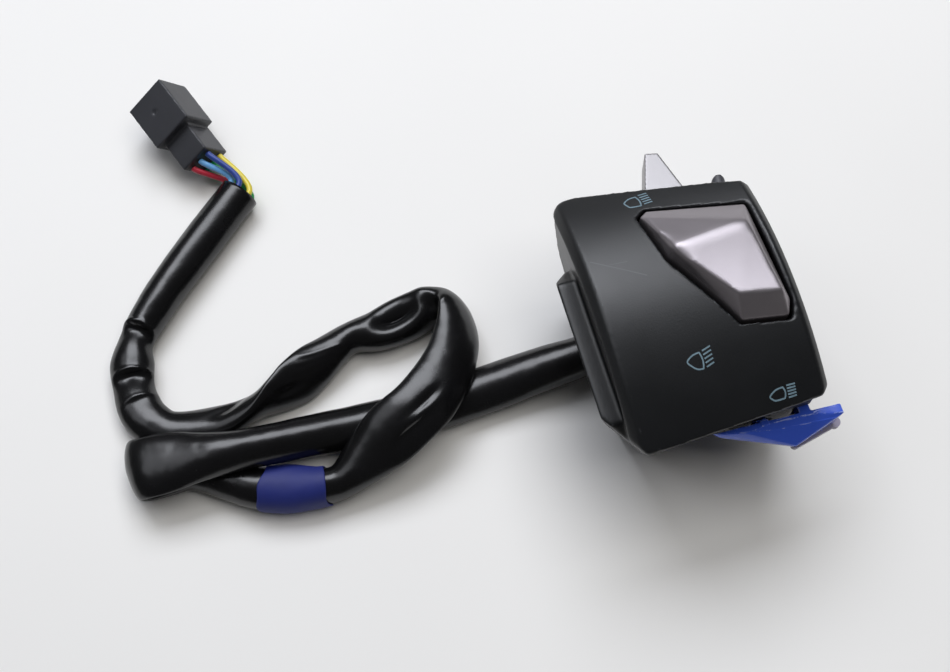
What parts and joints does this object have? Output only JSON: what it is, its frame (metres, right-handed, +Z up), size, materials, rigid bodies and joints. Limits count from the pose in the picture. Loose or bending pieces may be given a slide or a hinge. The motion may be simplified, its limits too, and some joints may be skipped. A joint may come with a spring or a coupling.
{
  "type": "handlebar switch cluster",
  "caption": "Left-hand handlebar switch housing with beam rocker, turn lever, horn button, blue flash lever, sleeved cable and plug-in connector.",
  "frame": {"origin": "on the handlebar's axis, at the middle of the housing's length", "axes": "+X along the handlebar towards the grip, +Z up through the crowned face, +Y towards the turn lever"},
  "size_m": [0.1755, 0.1556, 0.0578],
  "materials": {
    "black_plastic": "satin moulded, finely grained",
    "base_plastic": "moulded",
    "grey_plastic": "satin moulded",
    "dark_grey_plastic": "satin moulded",
    "blue_plastic": "glossy moulded",
    "lever_grey": "moulded",
    "steel": "zinc plated",
    "brass": "stamped",
    "grommet_rubber": "moulded",
    "sleeve_vinyl": "glossy extruded vinyl",
    "tape_vinyl": "smooth vinyl tape",
    "wire_red": "extruded insulation",
    "wire_sky_blue": "extruded insulation",
    "wire_navy": "extruded insulation",
    "wire_green": "extruded insulation",
    "wire_yellow": "extruded insulation",
    "wire_teal": "extruded insulation"
  },
  "bodies": {
    "housing": {"front_shell": "black_plastic", "rear_shell": "black_plastic", "clamp_screws": "steel", "switch_base": "base_plastic", "base_screws": "steel", "rocker_pin": "steel", "beam_contacts": "brass", "turn_contacts": "brass", "horn_contact": "brass", "horn_spring": "steel", "flash_pin": "steel", "flash_contact": "brass", "flash_spring": "steel", "cable_grommet": "grommet_rubber", "cable_clip": "steel", "clip_screw": "steel", "harness_tail": "sleeve_vinyl", "cable_sleeve": "sleeve_vinyl", "sleeve_tape": "tape_vinyl", "wire_red": "wire_red", "wire_sky_blue": "wire_sky_blue", "wire_navy": "wire_navy", "wire_green": "wire_green", "wire_yellow": "wire_yellow", "wire_teal": "wire_teal", "connector_housing": "black_plastic", "connector_terminals": "brass"},
    "rocker": {"beam_rocker": "grey_plastic", "rocker_detent_spring": "steel", "rocker_detent_ball": "steel", "beam_wiper": "brass"},
    "turn": {"turn_lever": "grey_plastic", "turn_slider": "base_plastic", "turn_detent_spring": "steel", "turn_detent_ball": "steel", "turn_bridge": "brass"},
    "horn": {"horn_button": "dark_grey_plastic", "horn_bridge": "brass"},
    "flash": {"flash_lever": "blue_plastic", "flash_arm": "lever_grey", "flash_tip": "brass"}
  },
  "joints": [
    {"name": "beam_rocker_hinge", "type": "hinge", "parent": "housing", "child": "rocker", "pos_m": [0.012, 0.009, 0.02473], "axis": [1, 0, 0], "range_deg": [0, 7]},
    {"name": "turn_slide", "type": "slide", "parent": "housing", "child": "turn", "axis": [0.977, -0.213, 0], "range_m": [-0.0025, 0.0025]},
    {"name": "horn_press", "type": "slide", "parent": "housing", "child": "horn", "axis": [-0.2098, -0.9622, 0.1736], "range_m": [0, 0.0025], "stiffness_N_per_m": 300, "springref_m": -0.002},
    {"name": "flash_pull", "type": "hinge", "parent": "housing", "child": "flash", "pos_m": [0.0095, -0.019, 0.011], "axis": [0, 0, 1], "range_deg": [0, 5], "stiffness_Nm_per_rad": 0.1, "springref_deg": -5.73}
  ]
}
